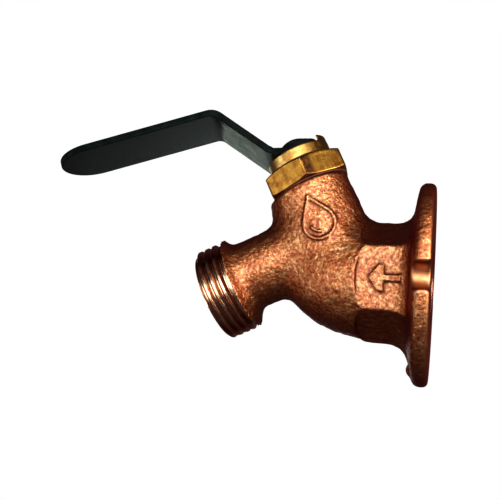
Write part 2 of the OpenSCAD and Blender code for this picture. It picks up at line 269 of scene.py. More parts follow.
def sharpen(piece, degrees):
    """Smooth shading that breaks at edges sharper than an angle."""
    piece.data.set_sharp_from_angle(angle=math.radians(degrees))


# ---------------------------------------------------------------- the casting

FLANGE_T = 4.2
FLANGE_CONE = 1.0
CONE_RUN = 6.0
FRONT_EDGE, BACK_EDGE = 2.0, 1.6
SLOT_SPREAD, SLOT_R = 25.4, 3.2
SLOT_REACH = 14.0
INLET_FLATS = 28.6
INLET_LONG = 18.9
FLAT_HALF, ARC_DEPTH = 7.3, 1.3
CORNER_RUN, CORNER_DEPTH = 1.2, 0.9
NOSE_R = 16.0
NOSE_CENTRE = 12.6
NOSE_REACH = 27.2
BOSS_R = 11.7
BOSS_SHIFT = -1.1
BOSS_FOOT, BOSS_TOP = -7.0, 16.8
BOSS_EDGE = 1.1
BELLY, BELLY_AT, BELLY_SPREAD = 0.35, 14.0, 2.2
WAIST_R = 9.9
WAIST_LIFT = 1.15
LIFT_FADE = (25.0, 31.0)
FLARE_START, FLARE_POWER = 24.2, 2.8
SHOULDER_R = 13.8
SHOULDER_AT = 29.3
OUTLET_END = 37.7
CAST_STEP = 0.44

# Fillets of the casting
FLANGE_FILLET, LOWER_FILLET = 5.2, 1.2
NOSE_CREASE = 0.45
NECK_FILLET = 4.8
FRONT_FILLET = 3.4

# Raised marks
ARROW_X = -11.0
SHAFT, SHAFT_HALF = (-3.6, 1.6), 0.95
HEAD_REACH, HEAD_BACK, HEAD_HALF = 3.9, 0.6, 3.6
DROP_X, DROP_Z = -1.0, 4.2
DROP_R, DROP_TIP, DROP_LINE = 4.3, 7.8, 0.5
GLEAM_R, GLEAM_LINE = 2.3, 0.4
MARKS_FRONT = -8.0
MARK_H = 0.5
SEAM_HALF, SEAM_H = 0.45, 0.16
STUB_AT, STUB_R, STUB_FILLET = (-4.2, -2.5, -22.9), 1.6, 1.2

# Hollows of the casting
INLET_DEPTH = 12.9
CHAMBER_R, CHAMBER_REACH, CHAMBER_START = 11.4, 22.6, 12.2
SEAT_R, SEAT_FOOT, SEAT_TOP, SEAT_HOLE_R = 10.3, -11.0, -8.5, 5.0
CAVITY_R = 7.95
BOSS_THREAD_R, BOSS_THREAD_START = 8.8, 9.0
BORE_R, BORE_START, BORE_TAPER, BORE_WIDENING = 6.8, 5.0, 13.0, 0.6
MOUTH_R = 9.3
MOUTH_DEPTH = 7.6

# Sand-cast skin: size and height of its grains and waves
SKIN = ((0.95, 0.16), (1.8, 0.16), (6.5, 0.12))
SKIN_INSET = 0.10


def flange_field(w, rho):
    """The round wall flange, thicker towards its middle."""
    cone = FLANGE_CONE * np.clip((FLANGE_R - 1 - rho) / CONE_RUN, 0, 1)
    middle = FLANGE_T / 2
    w = np.where(w > middle, w - cone * np.clip(w / FLANGE_T, 0, 1), w)
    r = np.where(w > middle, FRONT_EDGE, BACK_EDGE)
    a = rho - (FLANGE_R - r)
    b = np.abs(w - middle) - (middle - r)
    return np.hypot(np.maximum(a, 0), np.maximum(b, 0)) + np.minimum(np.maximum(a, b), 0) - r


def nose_start(p):
    """Where the nose rises out of the inlet hexagon: an arc across each flat."""
    reach = hexagon_reach(p[:, 1], p[:, 2], 0.01)
    along_flat = np.sqrt(np.maximum(p[:, 1] ** 2 + p[:, 2] ** 2 - reach**2, 0))
    corner = np.clip(along_flat - FLAT_HALF, 0, CORNER_RUN)
    return INLET_LONG - ARC_DEPTH * (along_flat / FLAT_HALF) ** 2 - CORNER_DEPTH * corner**2


def nose_field(w, rho, start):
    """The round nose, with a clear edge where it stands over the flats of the hexagon."""
    s = np.maximum(w - NOSE_CENTRE, 0)
    k0 = np.hypot(rho / NOSE_R, s / NOSE_REACH)
    k1 = np.hypot(rho / NOSE_R**2, s / NOSE_REACH**2)
    dome = k0 * (k0 - 1) / np.maximum(k1, 1e-6)
    return smooth_max(dome, (start - w) * 0.9, 0.35)


def outlet_field(x, y, z):
    """The outlet neck, with its flare to the shoulder."""
    t = -x
    lift = WAIST_LIFT * (1 - blend_step(t, *LIFT_FADE))
    r = np.hypot(y, z - lift)
    run = np.clip((t - FLARE_START) / (SHOULDER_AT - FLARE_START), 0, 1)
    flare = (SHOULDER_R - WAIST_R) * run**FLARE_POWER
    neck = smooth_max((r - WAIST_R - flare) * 0.9, t - SHOULDER_AT, 0.5)
    root = np.maximum(r - (HOSE_CREST - 2), between(t, SHOULDER_AT - 1, SHOULDER_AT + 0.6))
    return smooth_max(np.minimum(neck, root), -t - 2, 0.5)


def boss_field(x, y, z):
    """The round boss under the bonnet, slightly fuller on its outlet side."""
    r = np.hypot(x - BOSS_SHIFT, y)
    belly = BELLY * np.exp(-(((z - BELLY_AT) / BELLY_SPREAD) ** 2)) * np.clip(-x / 10, 0, 1)
    return smooth_max(r - BOSS_R - belly, between(z, BOSS_FOOT, BOSS_TOP), BOSS_EDGE)


def casting_outside(p):
    """The casting without its marks and hollows."""
    w = -p[:, 0]
    rho = np.hypot(p[:, 1], p[:, 2])
    x, y, z = valve_parts(p)
    start = nose_start(p)
    end = (w - start - 0.4) * 0.8
    inlet = smooth_max(hexagon(p[:, 1], p[:, 2], INLET_FLATS), np.maximum(end, 1 - w), 0.5)
    fillet = FLANGE_FILLET + LOWER_FILLET * blend_step(-p[:, 2], 5, 15)
    rear = smooth_min(flange_field(w, rho), inlet, fillet)
    rear = smooth_min(rear, nose_field(w, rho, start), NOSE_CREASE)
    front = smooth_min(boss_field(x, y, z), outlet_field(x, y, z), NECK_FILLET)
    return np.maximum(smooth_min(rear, front, FRONT_FILLET), -w)


def flow_arrow(p):
    """Plan of an arrow towards the outlet, on the flat of the inlet hexagon."""
    a, b = ARROW_X - p[:, 0], np.abs(p[:, 2])
    shaft = np.maximum(between(a, *SHAFT), b - SHAFT_HALF)
    head = np.maximum(a * 0.8 + b * 0.6 - HEAD_REACH, HEAD_BACK - a)
    return np.minimum(shaft, np.maximum(head, b - HEAD_HALF))


def water_drop(p):
    """Plan of a drop's outline with a small gleam inside, on the front of the boss."""
    x, _, z = valve_parts(p)
    x, z = x - DROP_X, z - DROP_Z
    lean = math.asin(DROP_R / DROP_TIP)
    flank = np.abs(x) * math.cos(lean) + (z - DROP_TIP) * math.sin(lean)
    drop = np.where(z > DROP_R * math.sin(lean), flank, np.hypot(x, z) - DROP_R)
    gleam = np.abs(np.hypot(x, z) - GLEAM_R) - GLEAM_LINE
    return np.minimum(np.abs(drop) - DROP_LINE, np.maximum(gleam, np.maximum(x + 0.1, z)))


def relief(field, p):
    """The casting with its raised marks, parting line and gate stub."""
    marks = np.minimum(flow_arrow(p), water_drop(p))
    marks = smooth_max(marks, p[:, 1] - MARKS_FRONT, 0.3)
    field = smooth_min(field, smooth_max(field - MARK_H, marks, 0.35), 0.25)
    from_rim = FLANGE_R - np.hypot(p[:, 1], p[:, 2])
    inboard = blend_step(-p[:, 0], 0.4, 1.4) * blend_step(from_rim, 0.2, 1.2)
    seam = np.exp(-((p[:, 1] / SEAM_HALF) ** 2)) * SEAM_H * inboard
    stub = np.linalg.norm(p - np.array(STUB_AT), axis=1) - STUB_R
    return smooth_min(field - seam, stub, STUB_FILLET)


def screw_slots(p):
    """The two open slots at the flange's edges."""
    inward = np.maximum(SLOT_SPREAD - np.abs(p[:, 1]), 0)
    rounded = np.hypot(inward, p[:, 2]) - SLOT_R
    return np.maximum(rounded, -p[:, 0] - SLOT_REACH)


def casting_inside(p):
    """Everything that is hollow in the body."""
    w = -p[:, 0]
    rho = np.hypot(p[:, 1], p[:, 2])
    x, y, z = valve_parts(p)
    r = np.hypot(x, y)
    t = -x
    tube_r = np.hypot(y, z)
    inlet = np.maximum(rho - (PIPE_CREST + 2.2), w - INLET_DEPTH)
    s = np.maximum(w - NOSE_CENTRE, 0)
    ellipse = (np.hypot(rho / CHAMBER_R, s / CHAMBER_REACH) - 1) * CHAMBER_R
    chamber = np.maximum(ellipse, CHAMBER_START - w)
    seat = np.maximum(np.minimum(r - SEAT_R, x), SEAT_FOOT - z)
    chamber = cut(chamber, seat, 0.5)
    hole = np.maximum(r - SEAT_HOLE_R, between(z, SEAT_FOOT - 1, SEAT_TOP + 0.5))
    cavity = np.maximum(r - CAVITY_R, SEAT_TOP - z)
    thread = np.maximum(r - BOSS_THREAD_R, BOSS_THREAD_START - z)
    widening = BORE_WIDENING * np.clip((BORE_START + BORE_TAPER - t) / BORE_TAPER, 0, 1)
    bore = np.maximum(tube_r - (BORE_R + widening), BORE_START - t)
    mouth = np.maximum(tube_r - MOUTH_R, OUTLET_END - MOUTH_DEPTH - t)
    hollow = np.minimum(inlet, chamber)
    for tool in (hole, cavity, thread, bore, mouth):
        hollow = smooth_min(hollow, tool, 0.3)
    return hollow


def casting(p):
    body = relief(casting_outside(p), p)
    body = cut(body, screw_slots(p), 1.0)
    return cut(body, casting_inside(p), 0.5)


def sand_skin(p):
    """Pushes the as-cast skin in by a little random relief; machined faces stay true."""
    normals = gradient(casting, p)
    normals /= np.maximum(np.linalg.norm(normals, axis=1), 1e-6)[:, None]
    hollow = np.minimum(casting_inside(p), screw_slots(p))
    machined = np.maximum(blend_step(-hollow, -1.2, -0.4), blend_step(p[:, 0], -1.0, -0.3))
    rough = sum(
        smooth_noise(p, cell, SEED + i) * height for i, (cell, height) in enumerate(SKIN)
    )
    depth = (0.5 * rough + SKIN_INSET) * (1 - machined)
    return p - normals * depth[:, None], machined


def build_casting(material):
    low, high = node_box("valve_body")
    margin = 1.2
    points, quads = field_surface(casting, low - margin, high + margin, CAST_STEP)
    points, machined = sand_skin(points)
    piece = add_piece(
        "cast_body", "valve", points, quads, material, ["valve_body"]
    )
    layer = piece.data.attributes.new("machined", "FLOAT", "POINT")
    layer.data.foreach_set("value", machined.astype(np.float32))
    return piece


# ---------------------------------------------------------------- threads

ROWS_PER_TURN = 32
COLUMNS = 240
HOSE_PITCH, HOSE_DEPTH = 2.209, 1.43
HOSE_START = 28.82
PIPE_PITCH, PIPE_DEPTH = 1.814, 1.45
PIPE_START, PIPE_END = 0.04, 12.6
PIPE_TAPER = 1 / 32
# Shares of a pitch: half of the crest's flat, and one flank
CREST_HALF, FLANK_RUN = 0.0625, 0.375
# The hose thread's chamfer at the end, and where it runs in from the shoulder
END_CHAMFER, END_SLOPE = 0.75, 1.2
RUN_IN_DEPTH, RUN_IN_RISE, RUN_IN_AT, RUN_IN_LONG = 1.65, 1.4, 0.9, 0.8
# The pipe thread's opened mouth, and the depth at which its crest has the stated radius
PIPE_MOUTH, PIPE_MOUTH_SLOPE = 1.9, 1.3
PIPE_GAUGE = 6


def thread_height(phase):
    """Height of a 60 degree thread over its root, from 0 to 1, by the share of a pitch."""
    away = np.abs(phase % 1.0 - 0.5)
    t = np.clip((CREST_HALF + FLANK_RUN - away) / FLANK_RUN, 0, 1)
    return 0.75 * t + 0.25 * t * t * (3 - 2 * t)


def threaded_ring(radius_of, start, end, pitch, plain):
    """Points (in the ring's own frame) and quads of a ring with one threaded side.

    radius_of(phase, height) is the threaded side. plain lists [radius, height] points that
    close the section from the end of the thread back to its start.
    """
    share = np.arange(COLUMNS) / COLUMNS
    angle = share * 2 * math.pi
    turns = math.ceil((end - start) / pitch)
    climb = np.arange(-ROWS_PER_TURN, turns * ROWS_PER_TURN + 1) / ROWS_PER_TURN
    # Rows climb one pitch a turn, so that crests follow mesh edges, and stop at the end planes.
    height = np.clip(start + (climb[:, None] + share[None, :]) * pitch, start, end)
    radius = radius_of((height - start) / pitch - share[None, :], height)
    side = grid_points(radius, angle, height)
    rows = len(climb)
    i, j = (g.ravel() for g in np.meshgrid(np.arange(rows - 1), np.arange(COLUMNS), indexing="ij"))
    turned = np.where(j == COLUMNS - 1, ROWS_PER_TURN, 0)
    k = (j + 1) % COLUMNS
    here, there = i * COLUMNS + j, (i + turned) * COLUMNS + k
    faces = np.column_stack([here, there, there + COLUMNS, here + COLUMNS])
    faces = faces[i + turned + 1 < rows]
    profile = [[radius[-1], end], *plain, [radius[0], start]]
    rings = [np.broadcast_to(r, COLUMNS) for r, _ in profile]
    levels = np.array([h for _, h in profile])[:, None] * np.ones(COLUMNS)
    rest = grid_points(np.array(rings), angle, levels)
    more = grid_faces(len(profile), COLUMNS) + len(side)
    return np.vstack([side, rest]), np.vstack([faces, more])


def grid_points(radius, angle, height):
    """Points round the z axis, from grids of radius and height."""
    x, y = radius * np.cos(angle), radius * np.sin(angle)
    return np.column_stack([x.ravel(), y.ravel(), height.ravel()])


def hose_radius(phase, height):
    """The male thread, chamfered at the outlet's end and run in at the shoulder."""
    r = HOSE_CREST - HOSE_DEPTH + HOSE_DEPTH * thread_height(phase)
    end_chamfer = HOSE_CREST - END_CHAMFER + (OUTLET_END - height) * END_SLOPE
    rise = RUN_IN_RISE * np.clip((height - SHOULDER_AT - RUN_IN_AT) / RUN_IN_LONG, 0, 1)
    return np.minimum(r, np.minimum(end_chamfer, HOSE_CREST - RUN_IN_DEPTH + rise))


def pipe_radius(phase, height):
    """The female taper thread, opened at its mouth."""
    taper = (PIPE_GAUGE - height) * PIPE_TAPER
    r = PIPE_CREST + PIPE_DEPTH - PIPE_DEPTH * thread_height(phase) + taper
    mouth = PIPE_CREST + PIPE_MOUTH - height * PIPE_MOUTH_SLOPE
    return np.maximum(r, mouth)


def build_hose_thread(material):
    mouth = MOUTH_R - 0.02
    plain = [
        [MOUTH_R + 0.5, OUTLET_END],
        [mouth, OUTLET_END - 0.5],
        [mouth, OUTLET_END - MOUTH_DEPTH - 0.8],
        [HOSE_CREST - 2.6, HOSE_START],
    ]
    points, faces = threaded_ring(hose_radius, HOSE_START, OUTLET_END, HOSE_PITCH, plain)
    at = valve_points(-points[:, 2], points[:, 1], points[:, 0])
    piece = add_piece("hose_thread", "valve", at, faces, material)
    merge_close(piece)
    sharpen(piece, 40)
    return piece


def build_pipe_thread(material):
    back = PIPE_CREST + 2.8
    plain = [[back, PIPE_END], [back, PIPE_START]]
    points, faces = threaded_ring(pipe_radius, PIPE_START, PIPE_END, PIPE_PITCH, plain)
    at = np.column_stack([-points[:, 2], points[:, 0], -points[:, 1]])
    piece = add_piece("pipe_thread", "valve", at, faces, material)
    merge_close(piece)
    sharpen(piece, 40)
    return piece


# ---------------------------------------------------------------- the bonnet

BONNET_FLATS = 22.0
BONNET_FOOT = 8.2
HEX_LOW, HEX_HIGH = 17.2, 23.6
HEX_TOP_R = 10.8
HEX_FOOT_R = 11.6
COLLAR_R = 9.05
COLLAR_LOW, COLLAR_TOP = 24.1, 27.6
LUG_X, LUG_TOP = 7.2, 29.2
TAIL_R = 8.5
STEM_BORE_R = 4.56
THRUST_BORE_R, THRUST_SEAT = 6.55, 11.6
RECESS_R, RECESS_FLOOR = 6.4, 26.1
BONNET_STEP = 0.21
EDGE = 0.25
BONNET_TURN = math.radians(5)


def bonnet_field(p):
    """Hexagon, collar, stop lug and tail, bored through for the stem."""
    x, y, z = valve_parts(p)
    r = np.hypot(x, y)
    turned_x = x * math.cos(BONNET_TURN) + y * math.sin(BONNET_TURN)
    turned_y = y * math.cos(BONNET_TURN) - x * math.sin(BONNET_TURN)
    bar = smooth_max(hexagon(turned_x, turned_y, BONNET_FLATS), between(z, HEX_LOW, HEX_HIGH), EDGE)
    low = (r - HEX_FOOT_R - (z - HEX_LOW) * 2.0) * 0.45
    high = (r - HEX_TOP_R - (HEX_HIGH - z) * 2.2) * 0.41
    bar = smooth_max(bar, np.maximum(low, high), EDGE)
    slope = (HEX_TOP_R - 0.2 - COLLAR_R) / (COLLAR_LOW - HEX_HIGH)
    cone = (r - COLLAR_R - np.clip(COLLAR_LOW - z, 0, COLLAR_LOW - HEX_HIGH) * slope) * 0.4
    collar = smooth_max(cone, between(z, HEX_HIGH - 1, COLLAR_TOP), 0.45)
    lug = smooth_max(r - COLLAR_R, between(z, COLLAR_TOP - 2, LUG_TOP), 0.4)
    lug = smooth_max(lug, LUG_X - x, 0.3)
    tail = np.maximum(r - TAIL_R, between(z, BONNET_FOOT, HEX_LOW + 1))
    solid = smooth_min(smooth_min(bar, collar, 0.35), np.minimum(lug, tail), 0.2)
    bore = np.minimum(r - STEM_BORE_R, np.maximum(r - THRUST_BORE_R, z - THRUST_SEAT))
    recess = np.maximum(r - RECESS_R, RECESS_FLOOR - z)
    return cut(solid, np.minimum(bore, recess), 0.2)


def build_bonnet(material):
    low, high = node_box("bonnet")
    points, quads = field_surface(bonnet_field, low - 0.6, high + 0.6, BONNET_STEP)
    return add_piece("bonnet_brass", "valve", points, quads, material, ["bonnet"])


# ---------------------------------------------------------------- the lever

STRIP_T = 1.9
GRIP_W = 20.3
HUB_R = 6.6
SHOULDER_X = 3.2
SHOULDER_HALF = math.sqrt(HUB_R**2 - SHOULDER_X**2)
RISER_FOOT = 7.9
SHOULDER_END = RISER_FOOT - 0.2
RISER_ANGLE = math.radians(58.8)
RISER_H = 17.15
GRIP_ANGLE = math.radians(7.25)
LEVER_REACH = 65.3
LEVER_OFFSET = math.radians(10.5)
PLATE_LOW = 27.65
LEVER_EDGE = 0.35
LEVER_STEP = 0.35
BENDS = ((1.2 + STRIP_T, 1), (3.0, -1))
BEND_STEPS = 8
# Distances of the rows of points from the strip's ends, and of the columns from its sides
END_ROWS = (0, 0.02, 0.06, 0.12, 0.2, 0.3, 0.42, 0.56, 0.72, 0.9, 1.1, 1.35, 1.65, 2.0, 2.4)
SIDE_COLUMNS = (0, 0.006, 0.015, 0.03, 0.05, 0.08)
MIDDLE_SPAN, MIDDLE_COLUMNS = 0.88, 23


def lever_path():
    """Points [along, up, heading] of the strip's underside, from hub to tip."""
    grip_foot = RISER_FOOT + RISER_H / math.tan(RISER_ANGLE)
    tip_up = RISER_H + (LEVER_REACH - grip_foot) * math.tan(GRIP_ANGLE)
    corners = np.array([[-HUB_R, 0], [RISER_FOOT, 0], [grip_foot, RISER_H], [LEVER_REACH, tip_up]])
    headings = [0, RISER_ANGLE, GRIP_ANGLE]
    path, here = [], corners[0]
    for i, heading in enumerate(headings):
        forward = np.array([math.cos(heading), math.sin(heading)])
        if i < len(BENDS):
            r, side = BENDS[i]
            turn = headings[i + 1] - heading
            stop = corners[i + 1] - forward * r * math.tan(abs(turn) / 2)
        else:
            stop = corners[-1]
        count = max(2, round(np.linalg.norm(stop - here) / LEVER_STEP))
        for t in np.linspace(0, 1, count, endpoint=i == len(BENDS)):
            path.append([*(here + (stop - here) * t), heading])
        if i < len(BENDS):
            centre = stop + side * r * np.array([-forward[1], forward[0]])
            for t in np.linspace(0, 1, BEND_STEPS + 1):
                a = heading + turn * t
                arm = side * r * np.array([-math.sin(a), math.cos(a)])
                path.append([*(centre - arm), a])
            here = np.array(path.pop()[:2])
    return np.array(path)


def lever_half_width(along):
    """Half of the strip's width in plan: a round hub, shoulders, a straight grip, a round tip."""
    half = GRIP_W / 2
    hub = np.sqrt(np.maximum(HUB_R**2 - along**2, 0))
    slope = (half - SHOULDER_HALF) / (SHOULDER_END - SHOULDER_X)
    shoulder = SHOULDER_HALF + (along - SHOULDER_X) * slope
    tip = np.sqrt(np.maximum(half**2 - np.maximum(along - LEVER_REACH + half, 0) ** 2, 0))
    width = np.where(along < SHOULDER_X, hub, np.minimum(shoulder, half))
    return np.minimum(width, tip)


def edge_distance(along, across):
    """How far a point of the strip is from its outline, in plan."""
    half = GRIP_W / 2
    hub = HUB_R - np.hypot(along, across)
    lean = math.atan2(half - SHOULDER_HALF, SHOULDER_END - SHOULDER_X)
    sloping = (along > SHOULDER_X) & (along < RISER_FOOT)
    flank = (lever_half_width(along) - np.abs(across)) * np.where(sloping, math.cos(lean), 1)
    centre = LEVER_REACH - half
    tip = half - np.hypot(np.maximum(along - centre, 0), across)
    return np.maximum(np.where(along < SHOULDER_X, hub, np.minimum(flank, tip)), 0)


def with_close_ends(path):
    """The path with its first and last rows replaced by closely spaced ones."""
    ends = np.array(END_ROWS)
    first, last = path[0, 0], path[-1, 0]
    middle = path[(path[:, 0] > first + ends[-1]) & (path[:, 0] < last - ends[-1])]
    hub, tip = (
        np.column_stack([np.interp(rows, path[:, 0], path[:, k]) for k in range(3)])
        for rows in (first + ends, last - ends[::-1])
    )
    return np.vstack([hub, middle, tip])


def build_lever(material):
    path = with_close_ends(lever_path())
    along, heading = path[:, 0], path[:, 2]
    fine = np.array(SIDE_COLUMNS)
    middle = np.linspace(-MIDDLE_SPAN, MIDDLE_SPAN, MIDDLE_COLUMNS)
    u = np.concatenate([-1 + fine, middle, 1 - fine[::-1]])
    across = lever_half_width(along)[:, None] * u[None, :]
    distance = edge_distance(along[:, None] * np.ones_like(u), across)
    inset = np.clip(LEVER_EDGE - distance, 0, LEVER_EDGE)
    half = STRIP_T / 2 - LEVER_EDGE + np.sqrt(LEVER_EDGE**2 - inset**2)
    normal = np.column_stack([-np.sin(heading), np.cos(heading)])
    centre = path[:, :2] + normal * STRIP_T / 2
    sheets = []
    for side in (-1, 1):
        a = centre[:, :1] + side * half * normal[:, :1]
        b = centre[:, 1:] + side * half * normal[:, 1:]
        sheets.append(np.stack([a, across, b], axis=-1))
    rows, columns = across.shape
    loop = np.concatenate([sheets[0], sheets[1][:, ::-1]], axis=1)
    faces = grid_faces(rows, 2 * columns)
    a, v, b = loop.reshape(-1, 3).T
    turn = math.pi + LEVER_OFFSET
    x = a * math.cos(turn) - v * math.sin(turn)
    y = a * math.sin(turn) + v * math.cos(turn)
    piece = add_piece(
        "bent_lever", "spindle", valve_points(x, y, b + PLATE_LOW), faces, material,
        ["lever"],
    )
    merge_close(piece, 2e-6)
    sharpen(piece, 50)
    return piece


# ---------------------------------------------------------------- materials


class Shader:
    """A node material in the making. Every method returns the socket it makes."""

    def __init__(self, name):
        self.material = bpy.data.materials.new(name)
        self.material.use_nodes = True
        self.tree = self.material.node_tree
        self.surface = self.tree.nodes["Principled BSDF"]
        where = self.add("ShaderNodeTexCoord").outputs["Object"]
        self.world = self.mapped(where, (0, 0, 0), 0)
        offset = Matrix.Rotation(TILT, 3, "Y") @ Vector(VALVE)
        self.valve = self.mapped(where, -offset, TILT)

    def add(self, kind, **settings):
        node = self.tree.nodes.new(kind)
        for key, value in settings.items():
            setattr(node, key, value)
        return node

    def feed(self, socket, value):
        if isinstance(value, bpy.types.NodeSocket):
            self.tree.links.new(value, socket)
        else:
            socket.default_value = value

    def mapped(self, vector, location, turn):
        node = self.add("ShaderNodeMapping")
        self.feed(node.inputs["Vector"], vector)
        node.inputs["Scale"].default_value = (1 / MM,) * 3
        node.inputs["Location"].default_value = location
        node.inputs["Rotation"].default_value = (0, turn, 0)
        return node.outputs["Vector"]

    def noise(self, vector, cell, detail=4.0, rough=0.55, stretch=(1, 1, 1)):
        """Noise from about 0.3 to 0.7, with features of about one cell in mm."""
        scaled = self.add("ShaderNodeVectorMath", operation="MULTIPLY")
        self.feed(scaled.inputs[0], vector)
        scaled.inputs[1].default_value = [s / cell for s in stretch]
        node = self.add("ShaderNodeTexNoise")
        self.feed(node.inputs["Vector"], scaled.outputs[0])
        node.inputs["Scale"].default_value = 1.0
        node.inputs["Detail"].default_value = detail
        node.inputs["Roughness"].default_value = rough
        return node.outputs["Fac"]

    def lines(self, value):
        """Fine random lines along a value, for tool marks."""
        node = self.add("ShaderNodeTexNoise", noise_dimensions="1D")
        self.feed(node.inputs["W"], value)
        node.inputs["Detail"].default_value = 3
        return node.outputs["Fac"]

    def cells(self, vector, cell):
        node = self.add("ShaderNodeTexVoronoi")
        self.feed(node.inputs["Vector"], vector)
        node.inputs["Scale"].default_value = 1 / cell
        return node.outputs["Distance"]

    def math(self, operation, a, b=0.0):
        node = self.add("ShaderNodeMath", operation=operation)
        self.feed(node.inputs[0], a)
        self.feed(node.inputs[1], b)
        return node.outputs[0]

    def remap(self, value, low, high, to_low=0.0, to_high=1.0):
        node = self.add("ShaderNodeMapRange")
        keys = ("Value", "From Min", "From Max", "To Min", "To Max")
        for key, given in zip(keys, (value, low, high, to_low, to_high)):
            self.feed(node.inputs[key], given)
        return node.outputs["Result"]

    def ramp(self, value, *stops):
        """Colours from (position, (r, g, b)) stops."""
        node = self.add("ShaderNodeValToRGB")
        self.feed(node.inputs["Fac"], value)
        elements = node.color_ramp.elements
        while len(elements) < len(stops):
            elements.new(0.5)
        for element, (position, colour) in zip(elements, stops):
            element.position = position
            element.color = (*colour, 1)
        return node.outputs["Color"]

    def mix(self, share, a, b):
        """Colour a where share is 0 and b where it is 1."""
        node = self.add("ShaderNodeMix", data_type="RGBA")
        self.feed(node.inputs[0], share)
        # The node has sockets A and B for each kind of data; the colours' are 6 and 7.
        for socket, colour in ((6, a), (7, b)):
            given = colour if isinstance(colour, bpy.types.NodeSocket) else (*colour, 1)
            self.feed(node.inputs[socket], given)
        return node.outputs[2]

    def bump(self, height, distance, strength=1.0, after=None):
        """A normal from a height of 0 to 1 that stands for distance in mm."""
        node = self.add("ShaderNodeBump")
        self.feed(node.inputs["Height"], height)
        node.inputs["Distance"].default_value = distance * MM
        self.feed(node.inputs["Strength"], strength)
        if after is not None:
            self.feed(node.inputs["Normal"], after)
        return node.outputs["Normal"]

    def radius(self):
        """Distance from the stem axis, in mm."""
        split = self.split(self.valve)
        return self.math("SQRT", self.math("ADD", self.square(split["X"]), self.square(split["Y"])))

    def square(self, value):
        return self.math("MULTIPLY", value, value)

    def split(self, vector):
        node = self.add("ShaderNodeSeparateXYZ")
        self.feed(node.inputs[0], vector)
        return node.outputs

    def attribute(self, name):
        return self.add("ShaderNodeAttribute", attribute_name=name).outputs["Fac"]

    def grazing(self):
        """0 where a surface faces the eye, 1 where it turns away."""
        node = self.add("ShaderNodeLayerWeight")
        node.inputs["Blend"].default_value = 0.5
        return node.outputs["Facing"]

    def pointiness(self):
        return self.add("ShaderNodeNewGeometry").outputs["Pointiness"]

    def finish(self, **inputs):
        for name, value in inputs.items():
            socket = self.surface.inputs[name.replace("_", " ")]
            if isinstance(value, tuple):
                value = (*value, 1)
            self.feed(socket, value)
        return self.material


# Painted shade: dark reds that the bronze is mixed towards where its surface turns away from the eye
GRAZING_SHADE_RED = (0.24, 0.02, 0.014)
FLANK_SHADE_RED = (0.42, 0.07, 0.035)


def cast_bronze():
    """Sand-cast red bronze: grainy, with a pale worn skin, painted shade in its hollows and painted dark red shade
    where it turns from the eye.
    """
    s = Shader("cast_bronze")
    grain = s.noise(s.world, 0.8, 6, 0.72)
    patch = s.noise(s.world, 4.5, 3, 0.5)
    pits = s.cells(s.world, 0.75)
    tone = s.math("ADD", s.math("MULTIPLY", grain, 0.85), s.math("MULTIPLY", patch, 0.15))
    skin = s.ramp(
        tone,
        (0.37, (0.28, 0.055, 0.022)),
        (0.50, (0.54, 0.20, 0.06)),
        (0.64, (0.72, 0.54, 0.28)),
    )
    # Painted shade: concave places (low pointiness) are darkened towards dark brown.
    hollow = s.remap(s.pointiness(), 0.40, 0.50)
    skin = s.mix(s.remap(hollow, 0, 1, 0.75, 0), skin, (0.13, 0.035, 0.015))
    edge = s.remap(s.pointiness(), 0.52, 0.62, 0, 0.5)
    skin = s.mix(edge, skin, (0.80, 0.50, 0.30))
    bare = s.attribute("machined")
    turned = s.ramp(patch, (0.3, (0.50, 0.22, 0.09)), (0.7, (0.66, 0.34, 0.15)))
    colour = s.mix(bare, skin, turned)
    # Painted shade: the colour goes to dark red where the surface turns from the eye.
    colour = s.mix(s.remap(s.grazing(), 0.2, 0.82, 0, 0.95), colour, GRAZING_SHADE_RED)
    rough = s.remap(grain, 0.3, 0.7, 0.58, 0.36)
    relief = s.math("ADD", s.math("MULTIPLY", grain, 0.8), s.math("MULTIPLY", pits, 0.35))
    strength = s.remap(bare, 0, 1, 0.72, 0.12)
    return s.finish(
        Base_Color=colour, Metallic=1.0, Roughness=rough, Normal=s.bump(relief, 0.42, strength),
        Coat_Weight=s.remap(s.grazing(), 0.05, 0.45, 0.6, 0), Coat_IOR=1.8, Coat_Roughness=0.45,
    )


def cut_bronze(name, along):
    """Machined bronze, with fine tool lines along one axis of its frame, painted shade in its hollows and painted
    dark red shade on flanks that turn from the eye.
    """
    s = Shader(name)
    axis = s.split(s.valve if along == "outlet" else s.world)["X"]
    lines = s.lines(s.math("MULTIPLY", axis, 7.0))
    patch = s.noise(s.world, 1.6, 4, 0.6)
    tone = s.math("ADD", s.math("MULTIPLY", lines, 0.35), s.math("MULTIPLY", patch, 0.65))
    colour = s.ramp(
        tone,
        (0.35, (0.66, 0.36, 0.17)),
        (0.50, (0.92, 0.76, 0.52)),
        (0.64, (0.98, 0.92, 0.74)),
    )
    # Painted shade: concave places such as thread roots are darkened.
    hollow = s.remap(s.pointiness(), 0.42, 0.5, 0.8, 0)
    colour = s.mix(hollow, colour, (0.10, 0.03, 0.012))
    # Painted shade: the thread's flanks go to dark red where they turn from the eye.
    colour = s.mix(s.remap(s.grazing(), 0.12, 0.5, 0, 0.95), colour, FLANK_SHADE_RED)
    return s.finish(
        Base_Color=colour, Metallic=1.0, Roughness=s.remap(patch, 0.3, 0.7, 0.2, 0.28),
        Normal=s.bump(lines, 0.02, 0.3), Coat_Weight=0.3, Coat_Roughness=0.3,
    )


def dark_reflection_streak(s):
    """Share of a painted dark reflection: a brown streak down the bonnet's hexagon, just uphill of its near
    corner.
    """
    at = s.split(s.valve)
    rise = s.remap(at["X"], 0.9, 1.3)
    fall = s.remap(at["X"], 3.9, 2.9)
    near = s.math("LESS_THAN", at["Y"], 0.0)
    below_collar = s.remap(at["Z"], HEX_HIGH - 0.1, HEX_HIGH - 0.8)
    across = s.math("MULTIPLY", rise, fall)
    share = s.math("MULTIPLY", across, s.math("MULTIPLY", near, below_collar))
    return s.math("MULTIPLY", share, s.remap(s.noise(s.valve, 1.1), 0.35, 0.6, 0.5, 1))


